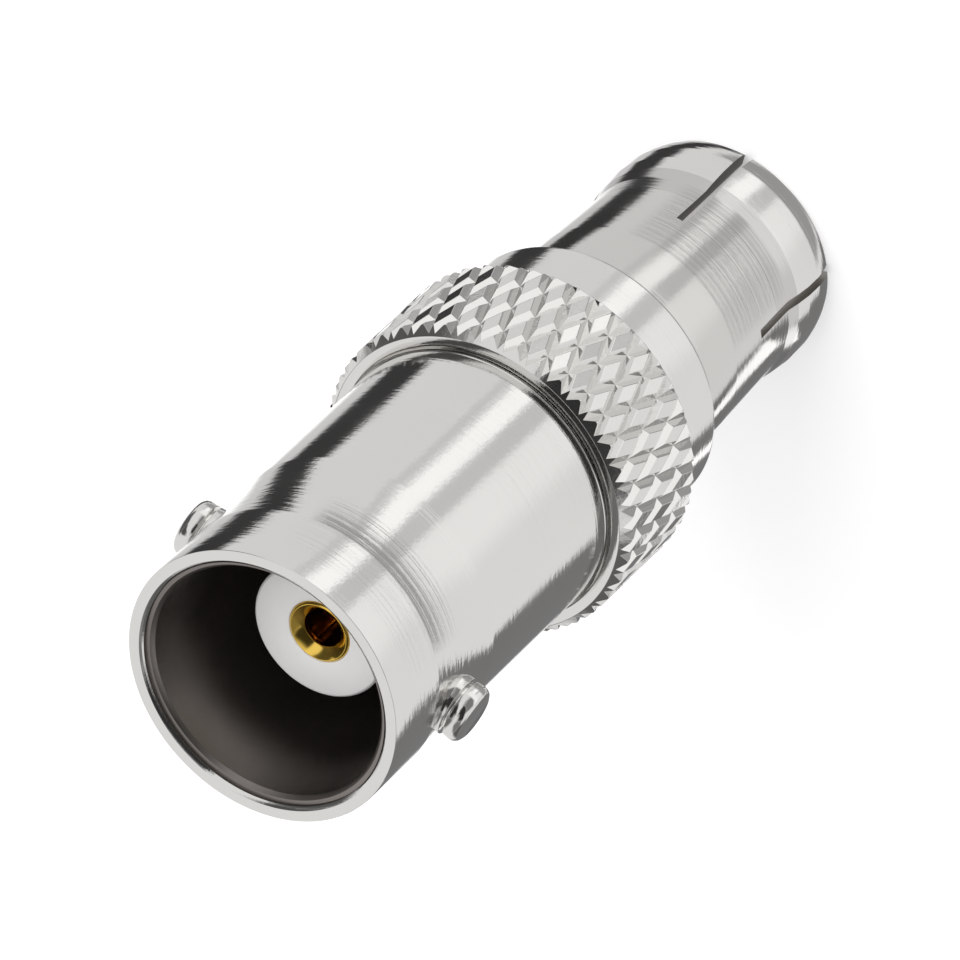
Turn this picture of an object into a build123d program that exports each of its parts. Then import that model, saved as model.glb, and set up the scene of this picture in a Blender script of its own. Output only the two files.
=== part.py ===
from build123d import *
import math
import os

# A straight coaxial adapter that stands on its plug end, +Z up toward the bayonet jack.
# Heights are millimetres above the end faces of the plug's spring fingers.

# Front shell: the jack's turned nose, waist and barrel
overall_height = 28.80
shell_diameter = 9.64
shell_length = 12.93
lip_edge_chamfer = 0.05
lip_width = 0.37
mouth_depth = 0.22
mouth_bevel = 0.12
shell_wall = 0.75
cavity_depth = 8.60
waist_start = 2.60
waist_end = 5.95
waist_depth = 0.105
web_thickness = 1.00
spigot_step = 0.52
spigot_wall = 0.90
spigot_length = 2.52
bush_wall = 0.68

# Bayonet studs, pressed radially through the waist
stud_projection = 0.68
stud_setback = 4.20
stud_head_diameter = 2.00
stud_shank_diameter = 1.20
stud_seat_sink = 0.13
stud_flange_height = 0.26
stud_neck_height = 0.12
stud_neck_diameter = 1.62
stud_edge_chamfer = 0.16
stud_wall_margin = 0.04

# Centre contact of the jack
hood_setback = 3.40
hood_diameter = 2.16
hood_wall = 0.22
hood_length = 4.40
hood_rim_chamfer = 0.08
entry_diameter = 1.30
entry_depth = 0.26
tine_bore = 1.36
tine_wall = 0.12
tine_count = 4
tine_slot = 0.22
tine_slot_length = 3.00
tine_setback = 0.10
contact_flange_diameter = 3.00
contact_flange_thickness = 0.60

# Insulators
front_insulator_proud = 0.05
front_insulator_diameter = 4.70
insulator_edge_chamfer = 0.10
front_flange_thickness = 2.00
rear_insulator_thickness = 3.80

# Knurled collar; the row offset is how far the lowest row's middle lies below the knurl's foot
neck_groove_depth = 0.15
neck_groove_width = 0.15
collar_face_drop = 0.08
knurl_crest_diameter = 11.06
knurl_depth = 0.21
knurl_teeth = 40
knurl_length = 4.34
knurl_row_height = 1.24
knurl_row_offset = 0.25
knurl_groove_share = 0.22
knurl_phase_deg = 6.45
shoulder_diameter = 9.60
shoulder_length = 2.39
shoulder_edge_chamfer = 0.05
collar_web_thickness = 1.30
collar_web_bore = 5.40

# Plug sleeve with its spring fingers
sleeve_root_diameter = 8.08
sleeve_straight = 2.70
taper_foot_diameter = 7.80
taper_foot_height = 3.30
pinch_diameter = 7.76
pinch_height = 2.75
pinch_land = 0.20
bead_rise_diameter = 7.95
bead_rise_height = 2.10
bead_diameter = 8.10
bead_top_height = 1.50
bead_drop_height = 0.95
finger_end_diameter = 7.62
finger_wall = 0.45
slot_count = 5
slot_width = 0.32
slot_length = 4.45
slot_phase_deg = 25.85
sleeve_spigot_diameter = 7.20
sleeve_seat_bore = 5.80
seat_lip_bore = 4.60
seat_lip_thickness = 0.60

# Plug pin
pin_diameter = 1.35
pin_body_diameter = 2.10
pin_tip_diameter = 0.70
pin_tip_length = 0.90
pin_recess = 0.80
pin_spigot_diameter = 1.00
pin_spigot_length = 1.60
pin_seat_thickness = 0.80

# Fits, and how far a cut runs past the face it opens
slip_gap = 0.02
end_gap = 0.05
overrun = 1.00

# Heights and radii that follow from the sizes above
lip_height = overall_height
barrel_foot = lip_height - shell_length
stud_height = lip_height - stud_setback
cavity_floor = lip_height - cavity_depth
web_underside = cavity_floor - web_thickness
spigot_foot = barrel_foot - spigot_length
shell_radius = shell_diameter / 2
mouth_radius = shell_radius - lip_width
cavity_radius = shell_radius - shell_wall
spigot_radius = shell_radius - spigot_step
rear_bore_radius = spigot_radius - spigot_wall
bush_radius = rear_bore_radius - slip_gap
waist_radius = shell_radius - waist_depth
stud_seat_radius = waist_radius - stud_seat_sink
hood_top = lip_height - hood_setback
hood_foot = hood_top - hood_length
insulator_top = hood_top - front_insulator_proud
front_flange_underside = web_underside - front_flange_thickness
contact_flange_underside = front_flange_underside - contact_flange_thickness
collar_face = barrel_foot - neck_groove_width
knurl_top = collar_face - collar_face_drop
knurl_foot = knurl_top - knurl_length
knurl_datum = knurl_foot - knurl_row_offset
knurl_rows = math.ceil((knurl_top - knurl_datum) / knurl_row_height)
collar_foot = knurl_foot - shoulder_length
collar_web_top = spigot_foot
collar_web_underside = collar_web_top - collar_web_thickness
knurl_root_radius = knurl_crest_diameter / 2 - knurl_depth
rear_insulator_top = collar_web_underside - end_gap
rear_insulator_foot = rear_insulator_top - rear_insulator_thickness
pin_shoulder_height = rear_insulator_foot + pin_seat_thickness


def turned(points):
    """A solid of revolution about Z from a closed outline of (radius, height) points."""
    outline = make_face(Polyline(*[(r, 0, z) for r, z in points], close=True))
    return revolve(outline, Axis.Z)


def disc(radius, low, high):
    """A plain cylinder between two heights."""
    return Pos(0, 0, low) * Cylinder(radius, high - low, align=(Align.CENTER, Align.CENTER, Align.MIN))


def stud_directions():
    """The bearings of the two bayonet studs, in degrees from +X."""
    return {"bayonet_stud_right": 0.0, "bayonet_stud_left": 180.0}


def radial(bearing):
    """A placement whose local +Z points outward along a bearing at the studs' height."""
    return Pos(0, 0, stud_height) * Rot(0, 0, bearing) * Rot(0, 90, 0)


def bnc_shell():
    """Nose, shallow waist and barrel in one turning, with the cavity, web and rear spigot."""
    lip_radius = shell_radius - lip_edge_chamfer
    post_hole = front_insulator_diameter / 2 + slip_gap
    waist_top = lip_height - waist_start
    waist_foot = lip_height - waist_end
    mouth_foot = lip_height - mouth_depth
    mouth_wall = mouth_radius - mouth_bevel
    with BuildPart() as shell:
        with BuildSketch(Plane.XZ):
            with BuildLine():
                Polyline(
                    (shell_radius, waist_foot),
                    (shell_radius, barrel_foot),
                    (spigot_radius, barrel_foot),
                    (spigot_radius, spigot_foot),
                    (rear_bore_radius, spigot_foot),
                    (rear_bore_radius, web_underside),
                    (post_hole, web_underside),
                    (post_hole, cavity_floor),
                    (cavity_radius, cavity_floor),
                    (cavity_radius, mouth_foot - mouth_bevel),
                    (cavity_radius + mouth_bevel, mouth_foot),
                    (mouth_wall, mouth_foot),
                    (mouth_wall, lip_height - mouth_bevel),
                    (mouth_radius, lip_height),
                    (lip_radius, lip_height),
                    (shell_radius, lip_height - lip_edge_chamfer),
                    (shell_radius, waist_top),
                )
                ThreePointArc(
                    (shell_radius, waist_top),
                    (waist_radius, (waist_top + waist_foot) / 2),
                    (shell_radius, waist_foot),
                )
            make_face()
        revolve(axis=Axis.Z)
    body = shell.part
    seat_depth = shell_radius - stud_seat_radius + overrun
    for bearing in stud_directions().values():
        seat = Cylinder(
            stud_head_diameter / 2 + slip_gap, seat_depth, align=(Align.CENTER, Align.CENTER, Align.MIN))
        hole = Cylinder(
            stud_shank_diameter / 2 + slip_gap, shell_radius, align=(Align.CENTER, Align.CENTER, Align.MIN))
        body -= radial(bearing) * Pos(0, 0, stud_seat_radius) * seat
        body -= radial(bearing) * Pos(0, 0, cavity_radius / 2) * hole
    return body


def bayonet_stud(bearing):
    """A headed pin: shank through the wall, base flange, neck groove and a chamfered head."""
    shank = stud_shank_diameter / 2
    head = stud_head_diameter / 2
    neck = stud_neck_diameter / 2
    tip = shell_radius + stud_projection
    inner_end = cavity_radius + stud_wall_margin
    flange_top = stud_seat_radius + stud_flange_height
    neck_top = flange_top + stud_neck_height
    pin = turned([
        (0, inner_end),
        (shank, inner_end),
        (shank, stud_seat_radius),
        (head, stud_seat_radius),
        (head, flange_top),
        (neck, flange_top),
        (neck, neck_top),
        (head, neck_top),
        (head, tip - stud_edge_chamfer),
        (head - stud_edge_chamfer, tip),
        (0, tip),
    ])
    return radial(bearing) * pin


def front_insulator():
    """White post that carries the jack's contact, with a flange trapped behind the shell's web."""
    post = front_insulator_diameter / 2
    flange = rear_bore_radius - slip_gap
    hole = hood_diameter / 2 + slip_gap
    return turned([
        (hole, front_flange_underside),
        (flange, front_flange_underside),
        (flange, web_underside),
        (post, web_underside),
        (post, insulator_top - insulator_edge_chamfer),
        (post - insulator_edge_chamfer, insulator_top),
        (hole, insulator_top),
    ])


def contact_hood():
    """Unslotted entry sleeve over the spring tines, with a coned mouth."""
    outer = hood_diameter / 2
    inner = outer - hood_wall
    entry = entry_diameter / 2
    rim = outer - hood_rim_chamfer
    cone_foot = hood_top - entry_depth
    return turned([
        (rim, hood_top),
        (outer, hood_top - hood_rim_chamfer),
        (outer, hood_foot),
        (inner, hood_foot),
        (inner, cone_foot - hood_wall),
        (entry, cone_foot - hood_wall),
        (entry, cone_foot),
    ])


def socket_contact():
    """Spring socket: slotted tines inside the hood, a stem, a flange and a rear bore for the pin."""
    tine_outer = tine_bore / 2 + tine_wall
    stem = hood_diameter / 2
    flange = contact_flange_diameter / 2
    tine_top = hood_top - entry_depth - hood_wall - tine_setback
    tine_foot = tine_top - tine_slot_length
    rear_bore = pin_spigot_diameter / 2 + slip_gap
    rear_bore_top = contact_flange_underside + pin_spigot_length + end_gap
    body = turned([
        (tine_bore / 2, tine_top),
        (tine_outer, tine_top),
        (tine_outer, hood_foot),
        (stem, hood_foot),
        (stem, front_flange_underside),
        (flange, front_flange_underside),
        (flange, contact_flange_underside),
        (rear_bore, contact_flange_underside),
        (rear_bore, rear_bore_top),
        (0, rear_bore_top),
        (0, tine_foot - tine_bore),
        (tine_bore / 2, tine_foot - tine_bore / 2),
    ])
    for index in range(tine_count):
        saw = Box(
            2 * tine_outer, tine_slot, tine_slot_length + overrun, align=(Align.MIN, Align.CENTER, Align.MIN))
        body -= Rot(0, 0, index * 360 / tine_count) * Pos(0, 0, tine_foot) * saw
    return body


def retaining_bush():
    """Plain ring pressed in behind the front insulator's flange."""
    bore = disc(bush_radius - bush_wall, spigot_foot - overrun, front_flange_underside + overrun)
    return disc(bush_radius, spigot_foot, front_flange_underside) - bore


def polar_point(radius, bearing, height):
    return Vector(radius * math.cos(bearing), radius * math.sin(bearing), height)


def knurl_diamond(row, centre, side):
    """Facets of one truncated diamond: side is 0 for a whole one, +1 or -1 for an end half."""
    crest = knurl_crest_diameter / 2
    root = knurl_root_radius
    half_pitch = math.pi / knurl_teeth
    level = knurl_datum + row * knurl_row_height
    top_share = 1 - 2 * knurl_groove_share
    facets = []

    def base(across, up):
        return polar_point(root, centre + across * half_pitch, level + up * knurl_row_height)

    def top(across, up):
        reach = top_share * half_pitch
        return polar_point(crest, centre + across * reach, level + up * top_share * knurl_row_height)

    for up in ((1, -1) if side == 0 else (side,)):
        for across in (-1, 1):
            facets.append((base(across, 0), base(0, up), top(0, up)))
            facets.append((base(across, 0), top(0, up), top(across, 0)))
            facets.append((top(across, 0), top(0, up), top(0, 0)))
    if side:
        middle_root = (base(-1, 0) + base(1, 0)) * 0.5
        for across in (-1, 1):
            facets.append((base(across, 0), top(across, 0), top(0, 0)))
            facets.append((base(across, 0), top(0, 0), middle_root))
    return facets


def diamond_bearing(row, tooth):
    """Where a diamond's middle line lies, in radians: odd rows sit half a pitch round."""
    return math.radians(knurl_phase_deg) + (2 * tooth + row % 2) * math.pi / knurl_teeth


def knurl_ring():
    """Crossed diagonal grooves round a ring, faced off square in front and chamfered at its foot."""
    half_pitch = math.pi / knurl_teeth
    facets = []
    for row in range(knurl_rows + 1):
        side = 1 if row == 0 else -1 if row == knurl_rows else 0
        for tooth in range(knurl_teeth):
            facets.extend(knurl_diamond(row, diamond_bearing(row, tooth), side))
    faces = [Face(Wire.make_polygon(points, close=True)) for points in facets]
    for row in (0, knurl_rows):
        level = knurl_datum + row * knurl_row_height
        corners = []
        for tooth in range(knurl_teeth):
            centre = diamond_bearing(row, tooth)
            left = polar_point(knurl_root_radius, centre - half_pitch, level)
            right = polar_point(knurl_root_radius, centre + half_pitch, level)
            corners.extend((left, (left + right) * 0.5))
        faces.append(Face(Wire.make_polygon(corners, close=True)))
    foot_face = Pos(0, 0, knurl_foot) * RegularPolygon(knurl_root_radius, knurl_teeth)
    foot_flare = extrude(foot_face, knurl_depth + slip_gap, taper=-45)
    blank = foot_flare + disc(knurl_crest_diameter, knurl_foot + knurl_depth + slip_gap, knurl_top)
    return Solid(Shell(faces)) & blank


def knurled_collar():
    """Neck groove, shallow front face, diamond knurl and plain shoulder on one stepped sleeve."""
    neck_groove = shell_radius - neck_groove_depth
    shoulder = shoulder_diameter / 2
    core = knurl_root_radius * math.cos(math.pi / knurl_teeth) - slip_gap
    front = turned([
        (0, knurl_top - knurl_row_height),
        (core, knurl_top - knurl_row_height),
        (core, knurl_top),
        (neck_groove, collar_face),
        (neck_groove, barrel_foot),
        (0, barrel_foot),
    ])
    rear = turned([
        (0, collar_foot),
        (shoulder - shoulder_edge_chamfer, collar_foot),
        (shoulder, collar_foot + shoulder_edge_chamfer),
        (shoulder, knurl_foot),
        (core, knurl_foot),
        (core, knurl_foot + knurl_row_height),
        (0, knurl_foot + knurl_row_height),
    ])
    body = knurl_ring() + front + rear
    body -= disc(spigot_radius + slip_gap, collar_web_top, barrel_foot + overrun)
    body -= disc(collar_web_bore / 2, collar_foot - overrun, barrel_foot + overrun)
    body -= disc(sleeve_spigot_diameter / 2 + slip_gap, collar_foot - overrun, collar_web_underside)
    return body


def plug_sleeve():
    """Spring sleeve: spigot in the collar, tapered barrel, pinched waist, bead and slotted fingers."""
    root = sleeve_root_diameter / 2
    spigot = sleeve_spigot_diameter / 2
    seat_bore = sleeve_seat_bore / 2
    taper_foot = taper_foot_diameter / 2
    pinch = pinch_diameter / 2
    bead = bead_diameter / 2
    rise = bead_rise_diameter / 2
    finger_end = finger_end_diameter / 2
    seat_lip = seat_lip_bore / 2
    lip_foot = rear_insulator_foot - seat_lip_thickness
    with BuildPart() as sleeve:
        with BuildSketch(Plane.XZ):
            with BuildLine():
                Polyline(
                    (bead, bead_drop_height),
                    (bead, bead_top_height),
                    (rise, bead_rise_height),
                    (pinch, pinch_height - pinch_land),
                    (pinch, pinch_height),
                    (taper_foot, taper_foot_height),
                    (root, collar_foot - sleeve_straight),
                    (root, collar_foot),
                    (spigot, collar_foot),
                    (spigot, rear_insulator_top),
                    (seat_bore, rear_insulator_top),
                    (seat_bore, rear_insulator_foot),
                    (seat_lip, rear_insulator_foot),
                    (seat_lip, lip_foot),
                    (pinch - finger_wall, lip_foot),
                    (pinch - finger_wall, 0),
                    (finger_end, 0),
                )
                TangentArc((bead, bead_drop_height), (finger_end, 0), tangent=(0, -1))
            make_face()
        revolve(axis=Axis.Z)
    body = sleeve.part
    for index in range(slot_count):
        bearing = slot_phase_deg + index * 360 / slot_count
        saw = Box(2 * root, slot_width, slot_length + overrun, align=(Align.MIN, Align.CENTER, Align.MIN))
        body -= Rot(0, 0, bearing) * Pos(0, 0, -overrun) * saw
    return body


def rear_insulator():
    """White bead on the sleeve's inner lip, stepped inside to carry the pin's shoulder."""
    outer = sleeve_seat_bore / 2 - slip_gap
    hole = pin_body_diameter / 2 + slip_gap
    throat = pin_diameter / 2 + slip_gap
    return turned([
        (throat, rear_insulator_foot),
        (outer, rear_insulator_foot),
        (outer, rear_insulator_top),
        (hole, rear_insulator_top),
        (hole, pin_shoulder_height),
        (throat, pin_shoulder_height),
    ])


def plug_pin():
    """Round-nosed pin, with a thicker body in the insulator and a spigot in the socket contact."""
    pin = pin_diameter / 2
    body = pin_body_diameter / 2
    spigot = pin_spigot_diameter / 2
    tip = pin_tip_diameter / 2
    return turned([
        (0, pin_recess),
        (tip, pin_recess),
        (pin, pin_recess + pin_tip_length),
        (pin, pin_shoulder_height),
        (body, pin_shoulder_height),
        (body, contact_flange_underside),
        (spigot, contact_flange_underside),
        (spigot, contact_flange_underside + pin_spigot_length),
        (0, contact_flange_underside + pin_spigot_length),
    ])


def main():
    os.makedirs("parts", exist_ok=True)
    pieces = {
        "bnc_shell": bnc_shell(),
        "front_insulator": front_insulator(),
        "contact_hood": contact_hood(),
        "socket_contact": socket_contact(),
        "retaining_bush": retaining_bush(),
        "knurled_collar": knurled_collar(),
        "plug_sleeve": plug_sleeve(),
        "rear_insulator": rear_insulator(),
        "plug_pin": plug_pin(),
    }
    for name, bearing in stud_directions().items():
        pieces[name] = bayonet_stud(bearing)
    for name, piece in pieces.items():
        export_step(piece, os.path.join("parts", name + ".step"))


main()
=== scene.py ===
# %% [markdown]
# # A coaxial adapter in nickel, gold and white plastic
#
# The real object is a handful of turned pieces pressed together: a bayonet jack with its round
# nose, a diamond-knurled collar for the fingers, and a slotted plug sleeve. Nearly everything is
# bright nickel plate, so the lesson is about clean turned forms and about what a mirror sees.
# The CAD frame is loaded first: every new piece is fitted to it, in metres, and stays inside it.

# %% Load the frame
import math
import bpy
import bmesh
from mathutils import Matrix, Vector


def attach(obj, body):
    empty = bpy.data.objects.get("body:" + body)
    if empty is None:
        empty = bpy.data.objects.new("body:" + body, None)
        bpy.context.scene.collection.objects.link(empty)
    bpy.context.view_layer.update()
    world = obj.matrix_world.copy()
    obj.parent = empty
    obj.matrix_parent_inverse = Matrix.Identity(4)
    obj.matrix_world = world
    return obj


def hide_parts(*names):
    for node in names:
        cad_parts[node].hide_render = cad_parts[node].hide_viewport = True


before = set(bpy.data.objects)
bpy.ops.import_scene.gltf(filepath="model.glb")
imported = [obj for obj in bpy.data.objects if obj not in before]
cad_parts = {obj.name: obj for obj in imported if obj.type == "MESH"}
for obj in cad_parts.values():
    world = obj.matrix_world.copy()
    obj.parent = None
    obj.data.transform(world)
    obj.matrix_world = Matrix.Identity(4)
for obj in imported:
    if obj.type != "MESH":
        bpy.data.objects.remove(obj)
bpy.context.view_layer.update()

MM = 0.001

# %% [markdown]
# ## The camera
#
# The photograph was taken from far away through a long lens, so the barrel hardly narrows towards
# its back. The adapter stands on its plug here, and the camera looks down at it and rolls, which
# lays the axis across the picture. Three directions and one place say all of that, and a matrix
# holds them: the picture's right, its up, and the way back to the photographer.

# %% Camera directions
picture_right = Vector((0.81120, 0.29669, -0.50391))
picture_up = Vector((-0.54880, 0.68379, -0.48088))
to_photographer = Vector((0.20190, 0.66663, 0.71752))
camera_place = Vector((126.920, 418.941, 466.396)) * MM
print("camera stands", round(camera_place.length, 3), "m away")

# %% Camera
def put_in_scene(name, data):
    """A new object that shows some data, linked to the scene."""
    thing = bpy.data.objects.new(name, data)
    bpy.context.scene.collection.objects.link(thing)
    return thing

camera_data = bpy.data.cameras.new("photograph")
camera_data.lens = 750
camera_data.sensor_width = 36
camera_data.clip_start, camera_data.clip_end = 0.05, 5
camera = put_in_scene("photograph", camera_data)
turn = Matrix((picture_right, picture_up, to_photographer)).transposed()
camera.matrix_world = Matrix.Translation(camera_place) @ turn.to_4x4()
bpy.context.scene.camera = camera

# %% [markdown]
# ## Helpers for turned work
#
# A lathe part is one outline carried round an axis, and Spin does exactly that. A closed outline
# gives a ring with a bore, so the bore, the end faces and the outside come in one turn. Machined
# edges are never knife sharp: a small bevel on every ring where the outline turns catches the
# thin bright lines that make metal look like metal. The last helper makes the finished piece
# and smooths it. Large faces weigh most in that smoothing, so flat ends and straight walls stay
# straight, and only the bevels bend the light.

# %% Spin an outline
def spun(outline, steps, closed=True):
    """A bmesh turned about Z from (radius, height) points in millimetres."""
    bm = bmesh.new()
    rim = [bm.verts.new((r * MM, 0, z * MM)) for r, z in outline]
    pairs = list(zip(rim, rim[1:])) + ([(rim[-1], rim[0])] if closed else [])
    edges = [bm.edges.new(pair) for pair in pairs]
    bmesh.ops.spin(bm, geom=rim + edges, cent=(0, 0, 0), axis=(0, 0, 1), dvec=(0, 0, 0),
                   angle=2 * math.pi, steps=steps, use_merge=True, use_duplicate=False)
    bmesh.ops.remove_doubles(bm, verts=bm.verts, dist=0.0005 * MM)
    bmesh.ops.recalc_face_normals(bm, faces=bm.faces)
    return bm

# %% Break the sharp edges
def bevelled(bm, edges, width, steps):
    """Bevels some edges by a width in the bmesh's own unit."""
    bmesh.ops.bevel(bm, geom=edges, offset=width, offset_type="OFFSET", segments=steps,
                    profile=0.5, affect="EDGES", material=-1, clamp_overlap=True)

def broken_edges(bm, width, turn=25, steps=2):
    """Bevels every edge that turns by more than some degrees, by a width in millimetres."""
    sharp = [e for e in bm.edges if e.is_manifold and e.calc_face_angle(0) > math.radians(turn)]
    bevelled(bm, sharp, width * MM, steps)
    return len(sharp)

# %% Make a piece
FLAT_FACES_FIRST = 100

def as_mesh(name, bm):
    """Writes a finished bmesh into a new mesh."""
    mesh = bpy.data.meshes.new(name)
    bm.to_mesh(mesh)
    bm.free()
    return mesh

def piece(name, bm, nodes):
    """Turns a bmesh into a smooth object that rides on the body and stands for CAD nodes."""
    mesh = as_mesh(name, bm)
    mesh.polygons.foreach_set("use_smooth", [True] * len(mesh.polygons))
    thing = put_in_scene(name, mesh)
    even = thing.modifiers.new("flat faces stay flat", "WEIGHTED_NORMAL")
    even.mode, even.weight, even.keep_sharp = "FACE_AREA", FLAT_FACES_FIRST, True
    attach(thing, "root")
    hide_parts(*nodes)
    print(name, "has", sum(len(p.vertices) - 2 for p in mesh.polygons), "triangles")
    return thing

# %% [markdown]
# ## The jack's shell
#
# One turning: a flat lip with a stepped mouth, the plain nose, a waist only a tenth of a
# millimetre deep that the coupling nut runs over, and the long barrel. The waist is a shallow
# curve, so its points follow a parabola. Behind the barrel the outline goes on inside the collar.
# Two spare rings on the barrel hold its shading straight, and a thin ring flares from its end:
# in the picture that edge is one bright line.

# %% Shell outline
LIP, BARREL_FOOT = 28.80, 15.87
SHELL, WAIST = 4.82, 4.715
WAIST_TOP, WAIST_FOOT = 26.20, 22.85
BARREL_RINGS = (20.0, 15.97)

def waist(share):
    """Radius and height a share of the way down the waist."""
    rise = (2 * share - 1) ** 2
    return (WAIST + (SHELL - WAIST) * rise, WAIST_TOP + (WAIST_FOOT - WAIST_TOP) * share)

shell_outline = [(4.45, LIP), (4.81, LIP), (SHELL, 28.79), (SHELL, 27.6)]
shell_outline += [waist(step / 16) for step in range(17)]
shell_outline += [(SHELL, height) for height in BARREL_RINGS]
shell_outline += [(SHELL, BARREL_FOOT), (4.30, BARREL_FOOT), (4.30, 13.35), (3.40, 13.35)]
shell_outline += [(3.40, 19.20), (2.37, 19.20), (2.37, 20.20), (4.07, 20.20)]
shell_outline += [(4.07, 28.44), (4.19, 28.58), (4.33, 28.58), (4.33, 28.70)]
print("points in the shell's outline:", len(shell_outline))

# %% Shell
SHELL_STEPS = 256
flare_outline = [(4.80, 15.935), (4.821, 15.93), (4.846, 15.83), (4.80, 15.83)]
shell_mesh = spun(shell_outline, SHELL_STEPS)
print("rings softened:", broken_edges(shell_mesh, 0.03, turn=4) // SHELL_STEPS)
shell_mesh.from_mesh(as_mesh("flared end of the barrel", spun(flare_outline, SHELL_STEPS)))
shell = piece("jack_shell", shell_mesh, ["bnc_shell"])

# %% [markdown]
# ## The bayonet studs
#
# Two little pins stand out of the waist on opposite sides, where the coupling nut's slots catch
# them. Each is a turning of its own: a thin base flange, a narrow neck and a thick head with a
# rounded rim. The outline is spun standing up at the origin, then the mesh is tipped over and
# moved out.

# %% Stud
STUD_HEIGHT, TIP = 24.60, 5.50
stud_outline = [(0, 4.20), (1.03, 4.20), (1.03, 4.845), (0.81, 4.845), (0.81, 4.965), (1.0, 4.965)]
stud_outline += [(1.0, TIP - 0.27), (0.97, TIP - 0.16), (0.89, TIP - 0.06), (0.76, TIP), (0, TIP)]

def stud(name, bearing, node):
    """One stud on the waist, turned to its bearing in degrees."""
    bm = spun(stud_outline, 96, closed=False)
    broken_edges(bm, 0.025)
    to_bearing = Matrix.Rotation(math.radians(bearing), 4, "Z")
    tip_over = to_bearing @ Matrix.Rotation(math.pi / 2, 4, "Y")
    place = Matrix.Translation((0, 0, STUD_HEIGHT * MM)) @ tip_over
    bmesh.ops.transform(bm, matrix=place, verts=bm.verts)
    return piece(name, bm, [node])

stud_right = stud("stud_right", 0, "bayonet_stud_right")
stud_left = stud("stud_left", 180, "bayonet_stud_left")

# %% [markdown]
# ## The knurl
#
# A knurling tool rolls two sets of slanting grooves that cross, and leaves rows of flat-topped
# diamonds. Laid flat, that is a checkerboard turned by 45 degrees and stretched. So a grid is
# turned and stretched, and every face is inset and lifted on its own. The lathe tool then cuts
# a chamfer at both ends, right through the diamonds, so the strip is cut after the lifting. All
# its edges are marked sharp: every flank is a flat mirror of its own.

# %% Flat strip of diamonds
TEETH, ROW, ROWS_KEPT, CROSSING = 40, 1.24, 2.5, 13.53
CREST, GROOVE = 5.53, 5.32
GRID_FACES = 64
pitch = 2 * math.pi * CREST / TEETH
half_round = TEETH * pitch / 2
NUDGE = 1e-3

strip = bmesh.new()
bmesh.ops.create_grid(strip, x_segments=GRID_FACES, y_segments=GRID_FACES,
                      size=GRID_FACES / 2 * math.sqrt(0.5))
bmesh.ops.rotate(strip, cent=(0, 0, 0), matrix=Matrix.Rotation(math.pi / 4, 3, "Z"),
                 verts=strip.verts)
bmesh.ops.scale(strip, vec=(pitch, 2 * ROW, 1), verts=strip.verts)
places = {f: f.calc_center_bounds() for f in strip.faces}
outside = [f for f, place in places.items()
           if not -half_round - NUDGE < place.x < half_round - NUDGE
           or abs(place.y) > ROWS_KEPT * ROW]
bmesh.ops.delete(strip, geom=outside, context="FACES")
print("diamonds:", len(strip.faces))

# %% Lift the diamonds
FLANK, BROW = 0.18, 0.016
diamonds = strip.faces[:]
bmesh.ops.inset_individual(strip, faces=diamonds, thickness=FLANK, depth=CREST - GROOVE,
                           use_even_offset=True)
tops = set(diamonds)
brows = [e for e in strip.edges if any(f in tops for f in e.link_faces)]
bevelled(strip, brows, BROW, steps=2)
print("faces on the strip:", len(strip.faces))

# %% Chamfer the front and the foot
KNURL_TOP, KNURL_FOOT = 15.74, 11.30
TOP_CORE, FOOT_CORE = 5.25, 5.30
CUT_EDGE = 0.010

for level, slant, core in ((KNURL_TOP, (0, 1, 1), TOP_CORE), (KNURL_FOOT, (0, -1, 1), FOOT_CORE)):
    edge_point = (0, level - CROSSING, core - GROOVE)
    everything = strip.verts[:] + strip.edges[:] + strip.faces[:]
    cut = bmesh.ops.bisect_plane(strip, geom=everything, dist=1e-6, plane_co=edge_point,
                                 plane_no=slant, clear_outer=True)
    rim = [e for e in cut["geom_cut"] if isinstance(e, bmesh.types.BMEdge)]
    wall = bmesh.ops.extrude_edge_only(strip, edges=rim)["geom"]
    for corner in (v for v in wall if isinstance(v, bmesh.types.BMVert)):
        corner.co.y, corner.co.z = edge_point[1:]
    bevelled(strip, rim, CUT_EDGE, steps=1)
print("faces after the chamfers:", len(strip.faces))

# %% Roll the strip into a ring
KNURL_PHASE = math.radians(1.55)
for corner in strip.verts:
    angle = corner.co.x / CREST + KNURL_PHASE
    radius = (GROOVE + corner.co.z) * MM
    height = (corner.co.y + CROSSING) * MM
    corner.co = (radius * math.cos(angle), radius * math.sin(angle), height)
bmesh.ops.remove_doubles(strip, verts=strip.verts, dist=0.001 * MM)
bmesh.ops.recalc_face_normals(strip, faces=strip.faces)
for edge in strip.edges:
    edge.smooth = False
open_edges = sum(e.is_boundary for e in strip.edges)
print("faces:", len(strip.faces), "open edges on the ring:", open_edges)

# %% [markdown]
# ## The collar round the knurl
#
# The rest of the collar is turned: a fine groove where the barrel enters, a narrow flat front
# face, and behind the knurl a plain straight shoulder. It is a closed outline with a bore,
# and the knurled ring is laid over its waist. A spare ring near each end of the shoulder holds
# its shading straight.

# %% Collar
COLLAR_BORE, NECK_WALL, SHOULDER, REAR_FACE = 4.32, 4.91, 4.80, 8.91
STEPS_ROUND = 240
collar_outline = [(COLLAR_BORE, BARREL_FOOT), (4.72, BARREL_FOOT), (4.72, 15.60)]
collar_outline += [(NECK_WALL, 15.60), (NECK_WALL, KNURL_TOP), (TOP_CORE, 15.735)]
collar_outline += [(5.30, 15.65), (5.305, KNURL_FOOT), (SHOULDER, KNURL_FOOT)]
collar_outline += [(SHOULDER, 11.22), (SHOULDER, 9.04), (SHOULDER, 8.96), (4.75, REAR_FACE)]
collar_outline += [(3.62, REAR_FACE), (3.62, 12.05), (2.70, 12.05)]
collar_outline += [(2.70, 13.35), (COLLAR_BORE, 13.35)]
collar_mesh = spun(collar_outline, STEPS_ROUND)
print("rings softened:", broken_edges(collar_mesh, 0.02, turn=4) // STEPS_ROUND)
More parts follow.
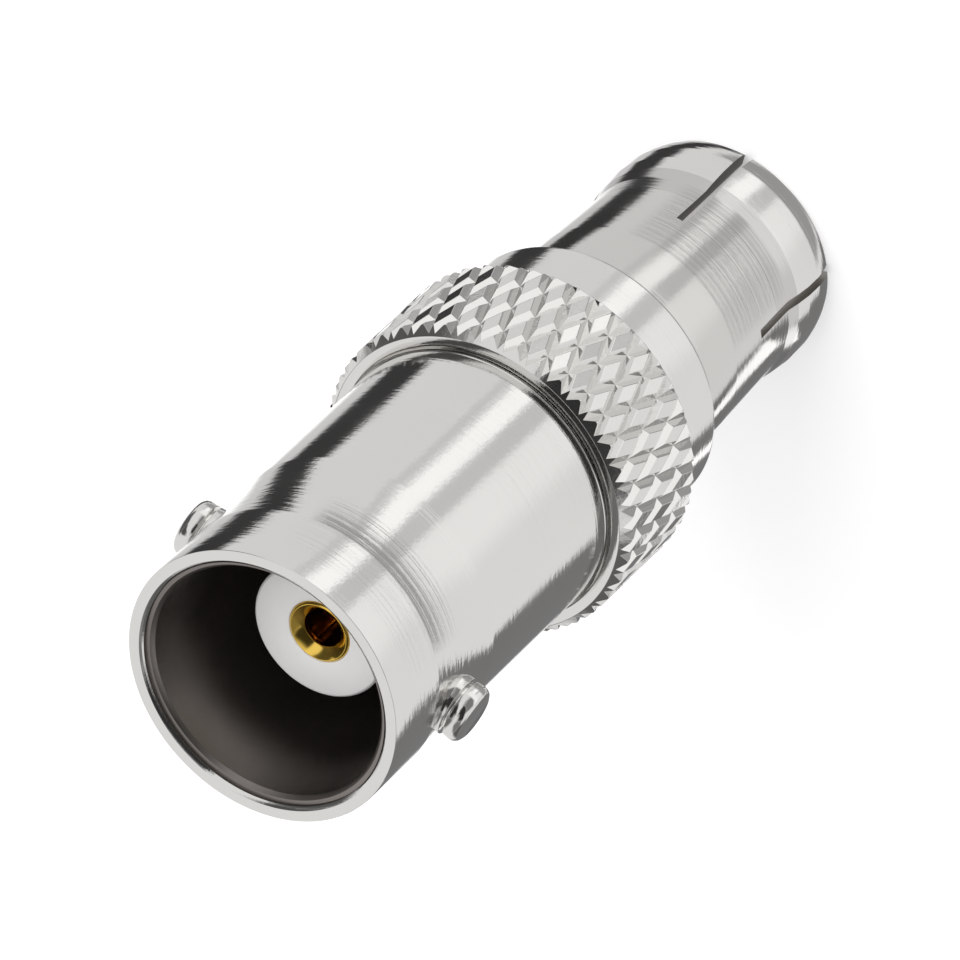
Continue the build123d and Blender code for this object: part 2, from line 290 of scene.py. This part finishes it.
collar_mesh.from_mesh(as_mesh("knurled ring", strip))
collar = piece("collar", collar_mesh, ["knurled_collar"])

# %% [markdown]
# ## The plug sleeve
#
# The sleeve is a springy tube with a pinched waist and a bead near its end, and five saw cuts
# divide it into fingers. The tube is spun, then two parallel cuts per slot open it: the strip
# between them goes, and each side of the gap is closed with a flat wall. The two cuts that the
# picture shows are 69 degrees apart, where five even ones would be 72, so every slot has a
# bearing of its own. Edges that turn a lot stay sharp, or the flat walls would bend the light
# on the tube above them.

# %% Sleeve outline
sleeve_outline = [(4.04, REAR_FACE), (4.04, 6.21), (3.90, 3.30), (3.88, 2.75), (3.88, 2.55)]
sleeve_outline += [(3.975, 2.10), (4.05, 1.50), (4.05, 0.85), (4.02, 0.60), (3.97, 0.34)]
sleeve_outline += [(3.90, 0.10), (3.84, 0), (3.43, 0), (3.43, 7.60), (2.30, 7.60), (2.30, 8.20)]
sleeve_outline += [(2.90, 8.20), (2.90, 12.00), (3.60, 12.00), (3.60, REAR_FACE)]
sleeve_mesh = spun(sleeve_outline, STEPS_ROUND)
print("rings softened:", broken_edges(sleeve_mesh, 0.03, turn=2.5) // STEPS_ROUND)

# %% Saw one slot
SLOT_TOP, HALF_SLOT = 4.45 * MM, 0.32 / 2 * MM
REACH, REACH_TOP = 2 * MM, 6 * MM
TOUCHING = 1e-7

def slot_directions(bearing):
    """The way out of the tube along a bearing in degrees, and the way across it."""
    angle = math.radians(bearing)
    outward = Vector((math.cos(angle), math.sin(angle), 0))
    return outward, Vector((-outward.y, outward.x, 0))

def without_repeats(parts):
    """Each part once, in the order they come, so that every run gives the same mesh."""
    return list(dict.fromkeys(parts))

def saw_slot(bm, outward, across):
    """Opens the tube on one side, up to the slots' closed end."""
    def inside(face, half_width, top):
        middle = face.calc_center_median()
        in_width = abs(middle.dot(across)) < half_width
        return middle.dot(outward) > 0 and in_width and middle.z < top

    cuts = [(across * HALF_SLOT, across), (-across * HALF_SLOT, across)]
    cuts += [(Vector((0, 0, SLOT_TOP)), Vector((0, 0, 1)))]
    for place, normal in cuts:
        faces = [f for f in bm.faces if inside(f, REACH, REACH_TOP)]
        corners_and_edges = without_repeats(part for f in faces for part in (*f.verts, *f.edges))
        bmesh.ops.bisect_plane(bm, geom=corners_and_edges + faces, dist=TOUCHING,
                               plane_co=place, plane_no=normal)
    gone = [f for f in bm.faces if inside(f, HALF_SLOT, SLOT_TOP)]
    bmesh.ops.delete(bm, geom=gone, context="FACES")

# %% Close the walls of a slot
def close_slot(bm, outward, across):
    """Fills the two side walls and the closed end of a sawn slot."""
    rim = [e for e in bm.edges if e.is_boundary]
    corners = without_repeats(v for e in rim for v in e.verts)
    for side in (HALF_SLOT, -HALF_SLOT):
        def on_wall(v):
            return v.co.dot(outward) > 0 and abs(v.co.dot(across) - side) < TOUCHING
        top = [v for v in corners if on_wall(v) and abs(v.co.z - SLOT_TOP) < TOUCHING]
        inner, outer = sorted(top, key=lambda v: v.co.dot(outward))
        seam = bm.edges.new((inner, outer))
        wall = [e for e in rim if all(on_wall(v) for v in e.verts)] + [seam]
        bmesh.ops.edgeloop_fill(bm, edges=wall)
    bmesh.ops.edgeloop_fill(bm, edges=[e for e in bm.edges if e.is_boundary])

# %% Cut all five
SLOT_BEARINGS = (27.0, 95.9, 169.85, 241.85, 313.85)
CREASE = math.radians(35)

for bearing in SLOT_BEARINGS:
    outward, across = slot_directions(bearing)
    saw_slot(sleeve_mesh, outward, across)
    close_slot(sleeve_mesh, outward, across)
bmesh.ops.recalc_face_normals(sleeve_mesh, faces=sleeve_mesh.faces)
for edge in sleeve_mesh.edges:
    edge.smooth = edge.calc_face_angle(0) < CREASE
print("open edges left on the sleeve:", sum(e.is_boundary for e in sleeve_mesh.edges))
sleeve = piece("plug_sleeve", sleeve_mesh, ["plug_sleeve"])

# %% [markdown]
# ## White insulators and gold contacts
#
# A satin white post fills the middle of the jack and carries the gold contact. Its mouth is
# coned, which guides the other plug's pin. At the plug end a second white bead holds the pin.

# %% One more helper
def turned_piece(name, outline, steps, edge, node, closed=True):
    """A piece that is one spun outline with broken edges."""
    bm = spun(outline, steps, closed)
    broken_edges(bm, edge)
    return piece(name, bm, [node])

# %% Insulators
front_outline = [(1.09, 17.20), (3.38, 17.20), (3.38, 19.20), (2.35, 19.20)]
front_outline += [(2.35, 25.27), (2.27, 25.35), (1.12, 25.35), (1.09, 25.32)]
front_insulator = turned_piece("front_insulator_post", front_outline, 160, 0.03,
                               "front_insulator")

rear_outline = [(0.695, 8.20), (2.88, 8.20), (2.88, 12.0), (1.07, 12.0), (1.07, 9.0), (0.695, 9.0)]
rear_insulator = turned_piece("rear_insulator_bead", rear_outline, 128, 0.04,
                              "rear_insulator")

# %% Contact and pin
hood_outline = [(1.0, 25.40), (1.08, 25.32), (1.08, 21.0), (0.86, 21.0)]
hood_outline += [(0.86, 24.92), (0.65, 24.92), (0.65, 25.12)]
hood = turned_piece("contact_mouth", hood_outline, 96, 0.02, "contact_hood")

pin_outline = [(0, 0.80), (0.35, 0.80), (0.46, 0.90), (0.675, 1.70), (0.675, 9.0)]
pin_outline += [(1.05, 9.0), (1.05, 16.60), (0.50, 16.60), (0.50, 18.20), (0, 18.20)]
pin = turned_piece("centre_pin", pin_outline, 96, 0.04, "plug_pin", closed=False)

# %% [markdown]
# ## A few words for node trees
#
# Materials here are small networks. A few helpers keep them readable: one adds a node and sets
# its values, one does arithmetic, one starts a material, and two make noise and turn it into a
# relief. Noise follows the object's own coordinates, so it stays on the metal when a piece moves.

# %% Node helpers
def add(tree, kind, inputs=None, **settings):
    """A new node with its settings, and its inputs set to numbers or linked to sockets."""
    node = tree.nodes.new(kind)
    for name, value in settings.items():
        setattr(node, name, value)
    for key, value in (inputs or {}).items():
        if isinstance(value, bpy.types.NodeSocket):
            tree.links.new(value, node.inputs[key])
        else:
            node.inputs[key].default_value = value
    return node

def sum_of(tree, operation, first, second=0.0, third=0.0):
    """The result socket of one Math node."""
    terms = {0: first, 1: second, 2: third}
    return add(tree, "ShaderNodeMath", terms, operation=operation).outputs[0]

# %% Material helpers
def new_material(name, **inputs):
    """A material, its node tree and its shader, with some of the shader's inputs set."""
    material = bpy.data.materials.new(name)
    material.use_nodes = True
    shader = material.node_tree.nodes["Principled BSDF"]
    for key, value in inputs.items():
        shader.inputs[key.replace("_", " ")].default_value = value
    return material, material.node_tree, shader

def noise(tree, where, scale, detail, fine_share=0.5, dimensions="3D"):
    """Noise at a place, which is a vector or, in one dimension, a number."""
    key = "W" if dimensions == "1D" else "Vector"
    inputs = {key: where, "Scale": scale, "Detail": detail, "Roughness": fine_share}
    return add(tree, "ShaderNodeTexNoise", inputs, noise_dimensions=dimensions).outputs["Fac"]

def relief(tree, height, millimetres, under=None):
    """The normal of a surface that noise raises by some millimetres, over a coarser relief."""
    inputs = {"Height": height, "Distance": millimetres * MM, "Strength": 1.0}
    if under is not None:
        inputs["Normal"] = under
    return add(tree, "ShaderNodeBump", inputs).outputs[0]

# %% [markdown]
# ## Bright nickel
#
# Nickel plate is a slightly warm mirror. What tells it from chrome paint is its surface: the lathe
# leaves fine rings round every turned face, and the plating lays a faint grain over them. Rings
# depend only on height and distance from the axis, so one-dimensional noise of their sum follows
# a barrel and an end face alike. Both reliefs go to Bump, and patches vary the roughness. The nose
# was turned more coarsely than the knurl, so each gets its own depth of rings.

# %% Turned metal
RING_SCALE, GRAIN_SCALE, PATCH_SCALE, FINE_SHARE = 5500, 5200, 420, 0.6

def turned_metal(name, colour, rings, grain, gloss):
    """Metal with lathe rings and plating grain; rings and grain are heights in millimetres."""
    material, tree, shader = new_material(name, Base_Color=(*colour, 1), Metallic=1)
    place = add(tree, "ShaderNodeTexCoord").outputs["Object"]
    x, y, z = add(tree, "ShaderNodeSeparateXYZ", {0: place}).outputs
    square = sum_of(tree, "ADD", sum_of(tree, "POWER", x, 2), sum_of(tree, "POWER", y, 2))
    along = sum_of(tree, "ADD", sum_of(tree, "SQRT", square), z)
    ring_noise = noise(tree, along, RING_SCALE, 3, FINE_SHARE, dimensions="1D")
    grain_noise = noise(tree, place, GRAIN_SCALE, 3, FINE_SHARE)
    patches = noise(tree, place, PATCH_SCALE, 4, FINE_SHARE)
    rough = add(tree, "ShaderNodeMapRange", {
        "Value": patches, "From Min": 0.3, "From Max": 0.7,
        "To Min": gloss[0], "To Max": gloss[1]})
    tree.links.new(rough.outputs[0], shader.inputs["Roughness"])
    surface = relief(tree, grain_noise, grain, under=relief(tree, ring_noise, rings))
    tree.links.new(surface, shader.inputs["Normal"])
    return material

# %% Nickel, darker copies for painted shade, and gold
NICKEL = (0.80, 0.79, 0.77)
nickel = turned_metal("nickel plate", NICKEL, rings=0.0040, grain=0.0034, gloss=(0.05, 0.13))
nose_nickel = turned_metal("nickel plate on the nose", NICKEL, rings=0.0075, grain=0.0042,
                           gloss=(0.05, 0.13))
knurl_nickel = turned_metal("knurled nickel", NICKEL, rings=0.0025, grain=0.0028,
                            gloss=(0.06, 0.15))
# Painted shade: the sleeve and its pinched band get darker copies of the same nickel, which dim
# their reflections; the band's coarser rings and rougher gloss are its own.
shaded_sleeve_nickel = turned_metal("sleeve nickel with painted shade", (0.71, 0.70, 0.68), rings=0.0035, grain=0.0026,
                             gloss=(0.06, 0.16))
shaded_band_nickel = turned_metal("ringed nickel with painted shade", (0.65, 0.64, 0.625), rings=0.0060, grain=0.0007,
                           gloss=(0.12, 0.20))
# Painted shade: the sawn slot walls get a dark copy of the metal, for the shade inside the slots.
sawn_wall_shade = turned_metal("painted shade on the sawn walls", (0.34, 0.32, 0.30), rings=0.001, grain=0.004, gloss=(0.30, 0.42))
# Painted shade: the bore inside the jack gets a dark copy of the plate, for the shade in the
# cavity.
bore_painted_shade = turned_metal("painted shade in the bore", (0.27, 0.245, 0.23), rings=0.001, grain=0.003,
                         gloss=(0.34, 0.44))
gold = turned_metal("gold plate", (1.0, 0.67, 0.13), rings=0.0006, grain=0.0006,
                    gloss=(0.11, 0.18))
print("materials so far:", len(bpy.data.materials))

# %% [markdown]
# ## White plastic
#
# The insulators are a waxy plastic. Light goes a little way into it before it comes out, which
# softens the shadows, so the shader scatters under the surface. A faint cloud keeps the white
# from looking like paint.

# %% White plastic
def moulded_white(name):
    """White plastic with a faint cloud and a fine skin."""
    material, tree, shader = new_material(
        name, Roughness=0.38, Subsurface_Weight=0.25, Subsurface_Radius=(1.0, 0.95, 0.9),
        Subsurface_Scale=0.4 * MM)
    place = add(tree, "ShaderNodeTexCoord").outputs["Object"]
    tone = add(tree, "ShaderNodeValToRGB", {0: noise(tree, place, 900, 3)})
    tone.color_ramp.elements[0].color = (0.80, 0.79, 0.78, 1)
    tone.color_ramp.elements[1].color = (0.87, 0.87, 0.86, 1)
    tree.links.new(tone.outputs[0], shader.inputs["Base Color"])
    tree.links.new(relief(tree, noise(tree, place, 6000, 2), 0.002), shader.inputs["Normal"])
    return material

white_plastic = moulded_white("satin white plastic")

# %% [markdown]
# ## Dressing
#
# A piece gets its list of materials, and each face then picks one by where it lies. The shell is
# darkened inside the jack as painted shade and is more coarsely turned on the nose. The sleeve's
# nickel is darkened as painted shade, its pinched band more so, with rings of its own; its bead
# keeps the bright plate, and the sawn walls are darkened as painted shade. The collar is smooth at
# its neck.

# %% Dress the pieces
def dress(thing, *materials):
    """Gives a thing its materials, in place of any that it has."""
    thing.data.materials.clear()
    for material in materials:
        thing.data.materials.append(material)

def dress_by_place(thing, choose):
    """Lets every face pick a material by its radius and height in millimetres."""
    for face in thing.data.polygons:
        middle = face.center / MM
        face.material_index = choose(face, middle, math.hypot(middle.x, middle.y))

for thing in (stud_right, stud_left):
    dress(thing, nickel)
for thing in (hood, pin):
    dress(thing, gold)
for thing in (front_insulator, rear_insulator):
    dress(thing, white_plastic)

# %% Dress the shell and the collar
CAVITY_WALL, CAVITY_FLOOR, CAVITY_TOP = 4.36, 20.0, 28.72
NECK_FOOT, NECK_RADIUS = 15.55, 5.26

def on_shell(face, middle, radius):
    """Painted shade in the cavity (1), coarser on the nose (2), plain elsewhere (0)."""
    if radius < CAVITY_WALL and CAVITY_FLOOR < middle.z < CAVITY_TOP:
        return 1
    return 2 if middle.z > WAIST_FOOT else 0

def on_collar(face, middle, radius):
    """Plain nickel at the neck (1), knurled nickel elsewhere (0)."""
    return int(middle.z > NECK_FOOT and radius < NECK_RADIUS)

dress(shell, nickel, bore_painted_shade, nose_nickel)
dress_by_place(shell, on_shell)
dress(collar, knurl_nickel, nickel)
dress_by_place(collar, on_collar)

# %% Dress the sleeve
OUTSIDE, BEAD_TOP, BAND_TOP, SAWN_TOP = 3.80, 2.10, 3.28, 4.46
LITTLE = 0.3

def on_sleeve(face, middle, radius):
    """Painted shade on the slots' walls (2), ringed and darkened as painted shade on the band (1),
    bright on the bead (3).
    """
    outward = Vector((middle.x, middle.y, 0)).normalized()
    faces_across = abs(face.normal.dot(outward)) < LITTLE and abs(face.normal.z) < LITTLE
    if middle.z < SAWN_TOP and faces_across:
        return 2
    if radius > OUTSIDE and middle.z < BAND_TOP:
        return 1 if middle.z > BEAD_TOP else 3
    return 0

# The bead keeps the bright nickel; the rest of the sleeve, its band and its sawn walls are darkened
# as painted shade.
dress(sleeve, shaded_sleeve_nickel, shaded_band_nickel, sawn_wall_shade, nickel)
dress_by_place(sleeve, on_sleeve)
print("sawn faces:", sum(face.material_index == 2 for face in sleeve.data.polygons))

# %% Dress the CAD pieces that stay
for node, material in (("socket_contact", gold), ("retaining_bush", knurl_nickel)):
    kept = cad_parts[node]
    for slot_number in range(len(kept.material_slots)):
        kept.material_slots[slot_number].material = material
    print(node, "slots dressed:", len(kept.material_slots))

# %% [markdown]
# ## The studio
#
# Polished metal shows its surroundings and nothing else. A real product studio is a white tent
# with a few dark cards, and the light and dark stripes along the barrel are those cards. The
# world does the same job here, by direction: rays that bounce off metal meet soft-edged panels,
# the camera sees plain white, and everything else gets an even light that shows colours as they
# are. Bearings are degrees round the axis: 90 is the photographer's side, and the right stud
# stands at 16.85. Heights are those of a ray's direction, from -1 straight down to 1 straight up.

# %% Panels round the object
STUD_BEARING = 16.85
panels = [
    # name, bearing, half width, edge, lowest, highest, tone
    ("bright wall", 70, 20, 12, -1.0, -0.30, 0.96),
    ("soft grey", 96, 8, 3, -1.0, -0.50, 0.64),
    ("lamp", 114, 8, 3, -1.0, -0.25, 1.15),
    ("gap beside the lamp", 130, 4, 3, -1.0, -0.30, 0.66),
    ("light wall", 162, 27, 3, -1.0, -0.30, 0.77),
    ("low window", 85, 45, 10, -0.48, -0.20, 1.05),
    ("table edge", 75, 35, 8, -0.14, 0.50, 0.22),
    ("shaded paper underneath", 85, 80, 8, -1.2, -0.80, 0.36),
    ("black card", 208, 17, 4, -1.0, -0.30, 0.045),
    ("grey beyond it", 236, 11, 3, -1.0, -0.30, 0.66),
    ("window", 261, 14, 6, -1.0, -0.30, 1.20),
    ("dark floor side", 314, 31, 3, -1.0, -0.30, 0.20),
    ("photographer", 61, 51, 4, 0.50, 0.95, 0.03),
    ("beside the photographer", 335, 35, 10, 0.50, 0.95, 0.20),
    ("dark above the black card", 186, 24, 5, 0.50, 0.95, 0.08),
    ("left flag", 190, 30, 8, -0.30, 0.50, 0.10),
    ("right flag", 330, 25, 8, -0.30, 0.50, 0.12),
]
print("panels:", len(panels))

# %% Blend helpers
def soft_step(tree, value, start, end, before=0.0, after=1.0):
    """Goes smoothly from one number to another while a value passes from start to end."""
    inputs = {"Value": value, "From Min": start, "From Max": end, "To Min": before, "To Max": after}
    return add(tree, "ShaderNodeMapRange", inputs, interpolation_type="SMOOTHSTEP").outputs[0]

def blend(tree, share, first, second):
    """The second number where the share is one, and the first where it is nought."""
    return add(tree, "ShaderNodeMix", {0: share, 2: first, 3: second}).outputs[0]

# %% Tone of the surroundings
TENT_TONE, RIM = 0.83, 0.06

def surroundings(tree):
    """The tone that a mirror meets in each direction: the tent, and the panels laid over it."""
    ray = add(tree, "ShaderNodeSeparateXYZ",
              {0: add(tree, "ShaderNodeTexCoord").outputs["Generated"]})
    azimuth = sum_of(tree, "ARCTAN2", ray.outputs[1], ray.outputs[0])
    tone = TENT_TONE
    for name, bearing, width, edge, low, high, value in panels:
        centre = math.radians(bearing - STUD_BEARING)
        turned = sum_of(tree, "SUBTRACT", azimuth, centre)
        offset = sum_of(tree, "ABSOLUTE", sum_of(tree, "WRAP", turned, -math.pi, math.pi))
        side = soft_step(tree, offset, math.radians(width - edge), math.radians(width + edge),
                         before=1.0, after=0.0)
        above = soft_step(tree, ray.outputs[2], low - RIM, low + RIM)
        below = soft_step(tree, ray.outputs[2], high - RIM, high + RIM, before=1.0, after=0.0)
        mask = sum_of(tree, "MULTIPLY", sum_of(tree, "MULTIPLY", side, above), below)
        tone = blend(tree, mask, tone, value)
    return tone

# %% World
EVEN_LIGHT, WHITE = 0.80, 1.0
world = bpy.data.worlds.new("studio")
bpy.context.scene.world = world
world.use_nodes = True
studio = world.node_tree
studio.nodes.clear()
seen_by_mirrors = surroundings(studio)
path = add(studio, "ShaderNodeLightPath")
lit = blend(studio, path.outputs["Is Glossy Ray"], EVEN_LIGHT, seen_by_mirrors)
seen = blend(studio, path.outputs["Is Camera Ray"], lit, WHITE)
light = add(studio, "ShaderNodeBackground", {"Color": (1, 1, 1, 1), "Strength": seen})
out = add(studio, "ShaderNodeOutputWorld")
studio.links.new(light.outputs[0], out.inputs[0])
print("nodes in the studio:", len(studio.nodes))

# %% [markdown]
# ## Floor and lamp
#
# A plain pale floor takes the object's soft shadow, which one soft lamp throws. The floor tops
# itself up to white for the camera only, and mirrors look past it to the studio, so the barrel
# keeps its stripes.

# %% Floor
def sheet(name, width, depth):
    """A flat sheet with its sides in metres."""
    bm = bmesh.new()
    bmesh.ops.create_grid(bm, x_segments=1, y_segments=1, size=0.5)
    bmesh.ops.scale(bm, vec=(width, depth, 1), verts=bm.verts)
    return put_in_scene(name, as_mesh(name, bm))

floor = sheet("floor", 1.2, 1.2)
floor.visible_glossy = False

# %% Floor material
TOP_UP = 0.35
paper, paper_tree, paper_shader = new_material(
    "white paper", Base_Color=(0.8, 0.8, 0.8, 1), Roughness=0.9, Specular_IOR_Level=0,
    Emission_Color=(1, 1, 1, 1))
camera_ray = add(paper_tree, "ShaderNodeLightPath").outputs["Is Camera Ray"]
top_up = sum_of(paper_tree, "MULTIPLY", camera_ray, TOP_UP)
paper_tree.links.new(top_up, paper_shader.inputs["Emission Strength"])
dress(floor, paper)

# %% Lamp
lamp_data = bpy.data.lights.new("softbox", "AREA")
lamp_data.shape, lamp_data.size, lamp_data.size_y = "RECTANGLE", 0.30, 0.30
lamp_data.energy = 0.9
lamp = put_in_scene("softbox", lamp_data)
lamp.location = (-0.15, 0.25, 0.40)
lamp.rotation_mode = "QUATERNION"
lamp.rotation_quaternion = lamp.location.to_track_quat("Z", "Y")
lamp.visible_glossy = False

# %% [markdown]
# ## A card on the paper
#
# A narrow bright card lies on the paper beside the plug. Only reflections see it, and it draws
# the light streak along the lower side of the sleeve and the shoulder.

# %% Bright card
CARD_LENGTH, CARD_WIDTH, CARD_GLOW = 12.0 * MM, 1.7 * MM, 1.3
card = sheet("bright card", CARD_LENGTH, CARD_WIDTH)
card.location = (9.57 * MM, -5.84 * MM, 0.02 * MM)
card.rotation_euler.z = math.radians(-51.7)
card.visible_camera = card.visible_diffuse = card.visible_shadow = False
glow = new_material("glowing card", Base_Color=(0, 0, 0, 1), Emission_Color=(1, 1, 1, 1),
                    Emission_Strength=CARD_GLOW)[0]
dress(card, glow)

# %% [markdown]
# ## The last step
#
# Standard shows the tones as they are, with nothing pressed together at the bright end.

# %% View settings
bpy.context.scene.view_settings.view_transform = "Standard"
